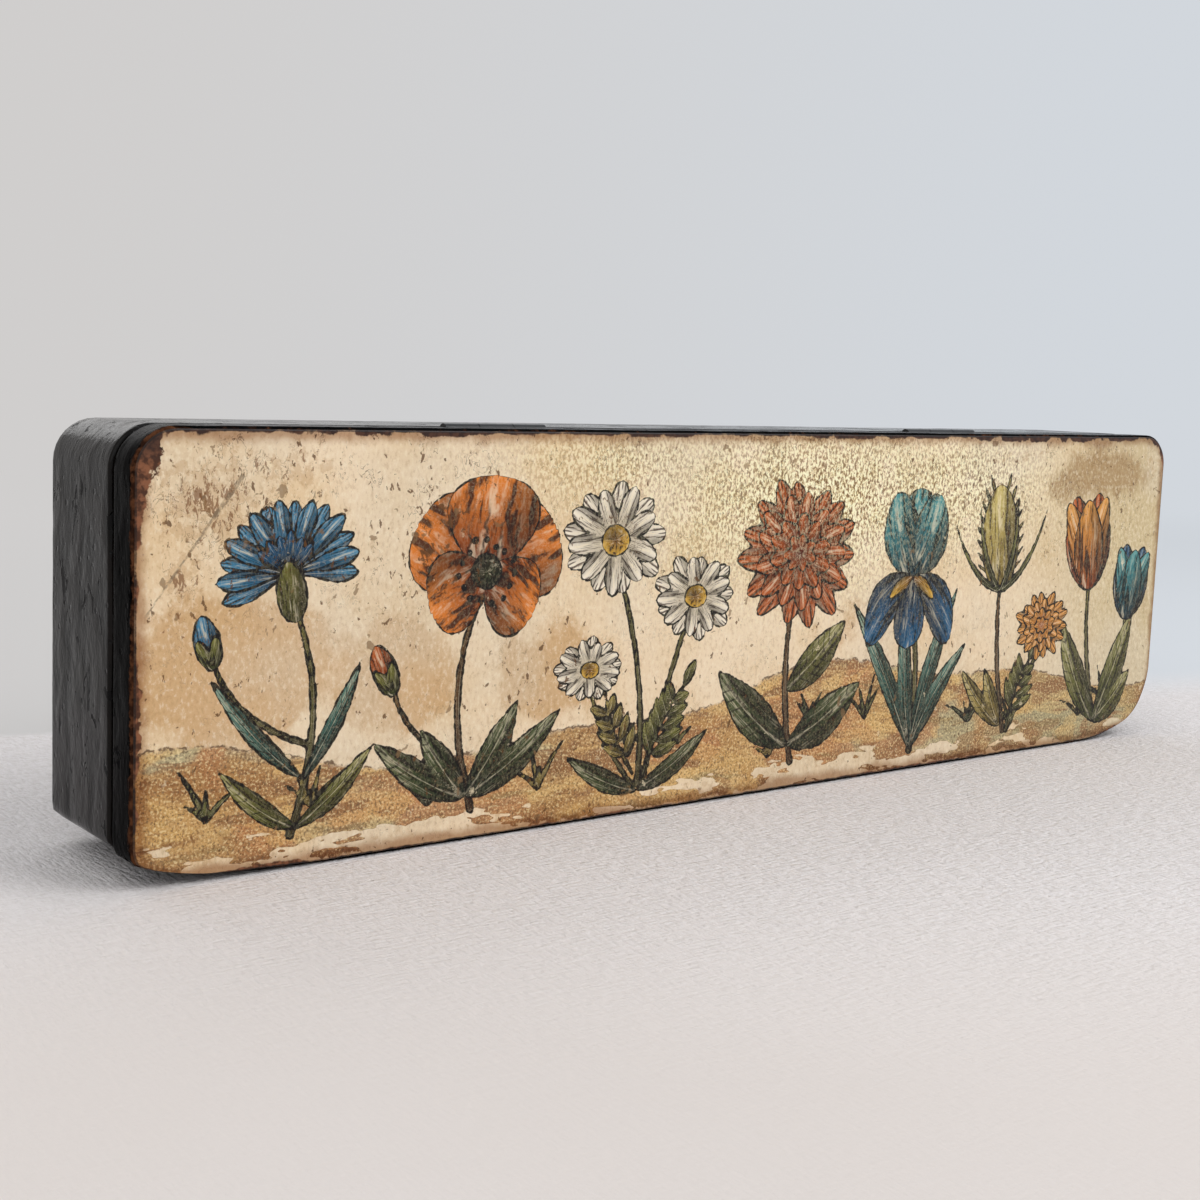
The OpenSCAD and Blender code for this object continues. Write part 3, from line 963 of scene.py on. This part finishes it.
def print_paper(s, leaf, painted_glints):
    """Buff paper with stains, a scorch and a gilded sky, with painted glints on the gilt."""
    drips = s.noise((0.24, 0.24, 0.1), 4.0, 0.55, 0.3)
    paper = s.between(s.noise(0.045, 4.0, 0.55), 0.35, 0.68, "f0dabb", "e2c59c")
    paper = s.tint(s.step(s.x, 50.0, 110.0), 0.85, paper, "c8b58c")
    # Golden tone on the gilt, partly a painted sheen.
    paper = s.tint(s.gilt, s.step(s.patch, 0.25, 0.6), paper, "dec992")
    paper = s.washes(paper, (
        (s.blend(s.patch, 0.7, s.stain), 0.62, 0.84, 0.75, "c79c68"),
        (s.blend(drips, 1.6, s.scorch), 1.2, 1.75, 0.7, "9a7646"),
        (s.noise(0.03, 3.0), 0.46, 0.62, 0.4, "dccfb8"),
        (s.fibre, 0.52, 0.64, 0.32, "faeed6"),
        (s.fibre, 0.46, 0.36, 0.26, "a8804f"),
    ))
    # Bright flecks over the gilt: painted glints of light on the varnish.
    paper = s.tint(s.gilt, painted_glints, paper, "fffcdc")
    return s.tint(s.gilt, s.times(s.step(leaf, 0.48, 0.425), 0.95), paper, "6c4a20")


def print_ground(s, paper):
    """Stippled washes of ground under the plants, ragged above and below."""
    ragged = s.noise(0.5, 5.0, 0.65)
    hue = s.noise((0.035, 0.035, 0.1), 3.0, 0.5, 0.5)
    wash = s.noise((0.045, 0.045, 0.15), 3.0, 0.5, 0.8)
    strokes = s.noise((0.05, 0.05, 0.26), 5.0, 0.65, 0.5)
    ground = s.washes(s.between(hue, 0.36, 0.5, "b48345", "cfa566"), (
        (hue, 0.5, 0.58, 0.75, "a6a384"),
        (s.noise(0.07, 3.0), 0.5, 0.58, 0.8, "b5733f"),
        (s.x, 20.0, 95.0, 0.4, "88845e"),
        (wash, 0.53, 0.545, 0.55, "925c29"),
        (wash, 0.44, 0.425, 0.35, "e0b468"),
        (strokes, 0.52, 0.6, 0.85, "86501f"),
        (strokes, 0.44, 0.34, 0.6, "7a6636"),
        (s.grain, 0.54, 0.62, 0.6, "efdca8"),
        (s.grain, 0.46, 0.38, 0.7, "4c3319"),
    ))
    height = s.blend(ragged, 2.4, s.less(s.bank, 1.2))
    gaps = s.step(s.noise((0.065, 0.065, 0.2), 3.0, 0.6), 0.52, 0.56)
    low = s.blend(gaps, -5.0, s.blend(ragged, 2.8, s.less(s.z, 2.2)))
    covered = s.times(s.step(height, -0.3, 0.5), s.step(low, -0.15, 0.15))
    art = s.mix(s.times(covered, 0.92), paper, ground)
    brim = s.times(s.times(s.step(low, 0.0, 0.3), s.step(low, 1.4, 0.2)), s.step(s.broken, 0.4, 0.6))
    art = s.tint(brim, 0.6, art, "7a4e26")
    crest = s.times(s.step(s.size(height), 0.28, 0.08), s.step(s.broken, 0.4, 0.52))
    return s.tint(crest, 0.8, art, "4a2c17")


def print_wear(s, art, cracked, bald):
    """Cracks, spots, sores, a scratch and flakes."""
    art = s.tint(cracked, s.blend(s.gilt, 0.3, 0.6), art, "5a3c1c")
    art = s.washes(art, (
        (s.blend(s.speck, 0.09, s.noise((0.95, 0.95, 0.6), 3.0, 0.6, 0.3)), 0.67, 0.71, 0.85, "5f3d1e"),
        (s.blend(s.speck, 0.06, s.noise(0.36, 3.0, 0.55, 0.4)), 0.7, 0.73, 0.7, "7d6040"),
    ))
    art = s.tint(bald, 0.3, art, "b48a58")
    sore = s.blend(s.scuff, 0.26, s.noise((1.0, 1.0, 0.5), 5.0, 0.7, 0.6))
    art = s.tint(s.step(sore, 0.75, 0.8), 0.75, art, "7a4e2a")
    cut = s.times(s.step(s.blend(s.wobble, 0.4, s.scratch), 0.44, 0.26), s.step(s.fibre, 0.3, 0.55))
    art = s.tint(cut, 0.75, art, "7d6c55")
    flaked = s.times(s.step(s.noise(0.33, 6.0, 0.7), 0.64, 0.68), s.step(s.patch, 0.4, 0.55))
    return s.tint(flaked, 0.6, art, "eddcb9")


def print_edges(s, art):
    """Browned edges, and bare board where the sheet is lost, darker near the top as painted shade. Returns
    the picture and where it is lost.
    """
    toned = s.step(s.blend(s.patch, -3.4, s.rim), 0.9, -1.1)
    art = s.mix(s.times(toned, 0.7), art, rgb("a2764a"), "MULTIPLY")
    fray = s.times(s.ragged, 2.0)
    bare = s.times(s.times(s.bare, fray), s.step(s.noise(0.24, 3.0), 0.36, 0.56))
    lost = s.step(s.less(s.rim, bare), 0.2, -0.15)
    brown = s.between(s.noise(0.9, 4.0), 0.4, 0.6, "4a2b1a", "85553a")
    # Bare board darker towards the top edge: painted shade.
    brown = s.tint(s.step(s.z, 58.0, 61.5), 0.75, brown, "2a1c18")
    art = s.mix(lost, art, brown)
    return s.mix(s.step(s.blend(fray, -0.22, s.rim), 0.12, -0.08), art, rgb("1f1511")), lost


def print_material():
    """An old varnished print: gilded paper with painted glints, washes of ground, the plants, and years of
    wear.
    """
    s = Print("aged_print")
    leaf = s.noise((2.0, 2.0, 1.25), 3.0, 0.65, 0.4)
    # Where the flecks are brightest: painted glints.
    painted_glints = s.step(leaf, 0.515, 0.545)
    art = print_ground(s, print_paper(s, leaf, painted_glints))
    for number, name in enumerate(LAYERS):
        art = print_layer(s, art, number, name)
    # Bright flecks again over the whole picture, most on the gilt: painted glints.
    art = s.mix(s.times(painted_glints, s.blend(s.gilt, 0.25, 0.04)), art, rgb("fff7c8"))
    ridge = s.size(s.less(s.noise((0.6, 0.6, 0.42), 3.0, 0.6, 0.6), 0.5))
    cracked = s.times(s.step(ridge, 0.014, 0.005), s.step(s.patch, 0.48, 0.56))
    cracked = s.times(cracked, s.blend(s.step(s.z, 34.0, 48.0), 0.65, 0.35))
    bald = s.step(s.blend(s.scuff, 0.3, s.ragged), 0.68, 0.74)
    art, lost = print_edges(s, print_wear(s, art, cracked, bald))
    s.look(base_color=art, roughness=s.blend(s.patch, 0.25, 0.28), specular_ior_level=0.2)
    s.look(coat_weight=0.08, coat_roughness=0.2)
    height = s.times(s.grain, 0.25)
    for share, part in ((-0.5, cracked), (-0.3, bald), (-0.6, lost), (0.5, s.fibre)):
        height = s.blend(part, share, height)
    s.bump(height, 0.35, 0.00015)
    return s.material


def lining_material():
    """Brick-red lining paper with fibres and faint blots."""
    s = Shader("lining_paper")
    fibres = s.noise((0.5, 2.4, 2.4), 4.0, 0.6, 1.2)
    red = s.between(fibres, 0.35, 0.65, "6e2a1c", "8f3c28")
    red = s.tint(s.step(s.noise(0.07, 4.0), 0.52, 0.7), 0.45, red, "4a1d14")
    s.look(base_color=red, roughness=s.blend(fibres, 0.15, 0.72))
    s.bump(fibres, 0.4, 0.00012)
    return s.material


def pasteboard_material():
    """Dark lacquered board of the lip, rubbed brown at its tip."""
    s = Shader("lip_board")
    _, y, _ = s.parts(s.place)
    layers = s.noise((0.12, 2.2, 0.12), 3.0, 0.6)
    tip = s.step(s.blend(s.noise(0.6, 5.0, 0.65), 2.4, y), -8.4, -9.6)
    board = s.between(layers, 0.4, 0.62, "171214", "2b201b")
    s.look(base_color=s.tint(tip, 0.9, board, "7a5230"), roughness=s.blend(tip, 0.3, 0.35))
    s.bump(layers, 0.35, 0.00012)
    return s.material


def brass_material():
    """Old brass, under black lacquer where the barrels show outside the box."""
    s = Shader("aged_brass")
    _, _, z = s.parts(s.place)
    tarnish = s.noise(0.5, 5.0, 0.65)
    rub = s.noise((0.35, 1.6, 1.6), 4.0, 0.6)
    metal = s.between(tarnish, 0.35, 0.65, "a8823f", "6b4a24")
    painted = s.times(s.step(z, 61.6, 62.2), s.step(rub, 0.78, 0.7))
    s.look(base_color=s.mix(painted, metal, rgb("0d0b0d")), metallic=s.less(1.0, painted))
    s.look(roughness=s.blend(tarnish, 0.3, 0.2))
    s.bump(tarnish, 0.3, 0.0001)
    return s.material


# The set: floor, light and camera. The camera was fitted to the photo's edges.

IMAGE_SIZE = 1200
SENSOR = 36.0
FOCAL_PX = 1728.85
PRINCIPAL_Y = 550
EYE = (-0.20482, -0.23598, 0.07162)
YAW, PITCH, ROLL = 0.6528, 0.0972, 0.0317
LEVEL = (cos(YAW), -sin(YAW), 0.0)
AHEAD = (sin(YAW), cos(YAW), 0.0)
FLOOR_REACH = 3.0
# The cloth ends behind the box, on a line at this slope and distance.
CLOTH_SLOPE = 0.2766
CLOTH_END = 67.0
# The cloth's weave fades in, and painted light brightens the cloth, over this way towards the box; the
# floor fades out over this distance.
WEAVE_AND_LIGHT_FADE = (-150.0, -40.0)
FLOOR_FADE = (350.0, 900.0)
EVEN_LIGHT = 0.55
# Lamps, as (name, place, size, power), and the point that they face
LAMPS = (("key", (0.5, -0.64, 0.73), 0.7, 5.6),
         ("fill", (-0.7, -0.5, 0.6), 0.8, 1.5),
         ("rim", (0.1, 0.8, 0.7), 0.8, 2.5))
LAMP_AIM = (0, 0, 0.03)


def floor_material():
    """Pale cloth round the box, lightened near it by painted light, and a plain pale ground behind it that
    fades into the backdrop.
    """
    s = Shader("pale_floor")
    x, y, _ = s.parts(s.place)
    blur = s.blend(s.step(x, -60.0, 260.0), 22.0, 3.0)
    back = s.step(s.blend(x, CLOTH_SLOPE, y), s.less(CLOTH_END, blur), s.plus(CLOTH_END, blur))
    weave = s.plus(s.noise((0.35, 1.5, 1.0)), s.noise((1.5, 0.35, 1.0)))
    fuzz = s.noise(1.3, 3.0, 0.65)
    near = s.step(s.vector("DOT_PRODUCT", s.place, AHEAD, output="Value"), *WEAVE_AND_LIGHT_FADE)
    # Lighter cloth near the box: painted light against the box's shade.
    cloth = s.mix(s.blend(s.noise(0.02, 3.0), 0.2, near), rgb("ddd6d2"), rgb("eeeaeb"))
    near = s.blend(near, 0.9, 0.1)
    cloth = s.tint(s.times(s.step(weave, 0.85, 1.2), near), 0.3, cloth, "c8c1bc")
    cloth = s.tint(s.times(s.step(fuzz, 0.53, 0.66), near), 0.35, cloth, "c3bbb5")
    way = s.vector("SUBTRACT", s.place, tuple(c / MM for c in EYE))
    wall = s.backdrop(s.vector("NORMALIZE", way))
    s.look(base_color=s.mix(back, cloth, wall), roughness=0.9, specular_ior_level=0.2)
    s.bump(s.times(s.blend(fuzz, 0.8, weave), s.times(near, s.less(1.0, back))), 0.7, 0.0008)
    fade = s.step(s.vector("LENGTH", s.place, output="Value"), *FLOOR_FADE)
    s.overlay(s.times(fade, s.seen()), s.surface, s.add("Emission", {"Color": wall}), s.output)
    return s.material


def make_floor():
    mesh = bpy.data.meshes.new("floor")
    far = FLOOR_REACH
    mesh.from_pydata([(-far, -far, 0), (far, -far, 0), (far, far, 0), (-far, far, 0)], [], [(0, 1, 2, 3)])
    mesh.materials.append(floor_material())
    floor = add_object("floor", mesh)


def make_world():
    """Even white light, and the backdrop's colour for what the camera and the gloss see."""
    world = bpy.data.worlds.new("studio")
    bpy.context.scene.world = world
    world.use_nodes = True
    s = Nodes(world.node_tree)
    way = s.add("TexCoord").outputs["Generated"]
    even = s.add("Background", {"Color": (1.0, 1.0, 1.0, 1.0), "Strength": EVEN_LIGHT})
    wall = s.add("Background", {"Color": s.backdrop(way)})
    s.overlay(s.seen(), even, wall, s.add("OutputWorld"))


def make_lamp(name, place, size, power):
    """A soft square lamp that points at the box."""
    data = bpy.data.lights.new(name, "AREA")
    data.size = size
    data.energy = power
    lamp = add_object(name, data)
    lamp.location = place
    aim = Vector(LAMP_AIM) - Vector(place)
    lamp.rotation_euler = aim.to_track_quat("-Z", "Y").to_euler()


def make_camera():
    data = bpy.data.cameras.new("camera")
    data.sensor_width = SENSOR
    data.lens = FOCAL_PX / IMAGE_SIZE * SENSOR
    data.shift_y = (PRINCIPAL_Y - IMAGE_SIZE / 2) / IMAGE_SIZE
    place = Matrix.Translation(EYE)
    for angle, axis in ((-YAW, "Z"), (pi / 2 - PITCH, "X"), (ROLL, "Z")):
        place = place @ Matrix.Rotation(angle, 4, axis)
    camera = add_object("camera", data)
    camera.matrix_world = place
    bpy.context.scene.camera = camera


def dress_hinges(material):
    """Gives the hinges, which keep their CAD shapes, a better material."""
    for name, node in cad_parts.items():
        if "hinge" in name:
            node.data.materials.clear()
            node.data.materials.append(material)


# Lacquers, as two blacks, gloss and least roughness. The lid's is duller and blacker, a shaded copy of the
# same lacquer: painted shade.
BASE_LACQUER = ("0b0908", "15110f", 0.125, 0.07)
LID_LACQUER_SHADED = ("020202", "060505", 0.009, 0.14)


def make_shell():
    """Both walls, both plates and the print."""
    base = lacquer_material("base_lacquer", *BASE_LACQUER)
    # The lid's lacquer is darkened as painted shade.
    lid = lacquer_material("lid_lacquer_shaded", *LID_LACQUER_SHADED)
    make_band("base_wall", "base_side_band", "base", 1,
              BASE_RIM_ROUND, True, BASE_HOLLOW, BASE_COUNTS, base)
    make_band("lid_wall", "lid_side_band", "lid", -1,
              LID_RIM_ROUND, False, LID_HOLLOW, LID_COUNTS, lid)
    make_panel("base_bottom", "base_bottom_panel", "base", -1,
               BOTTOM_ROUND, BOTTOM_GRID, True, 0.0, base)
    make_panel("lid_plate", "lid_top_panel", "lid", 1,
               TOP_ROUND, TOP_GRID, False, LID_RUB, lid)
    make_picture(print_material())


def build():
    make_shell()
    lining = lining_material()
    make_worn("base_lining_sheet", "base_floor_lining", "base", lining)
    make_worn("lid_lining_sheet", "lid_lining", "lid", lining)
    make_worn("lip_strip", "locating_lip", "base", pasteboard_material())
    dress_hinges(brass_material())
    make_floor()
    make_world()
    for lamp in LAMPS:
        make_lamp(*lamp)
    make_camera()
    bpy.context.scene.view_settings.view_transform = "Standard"


build()
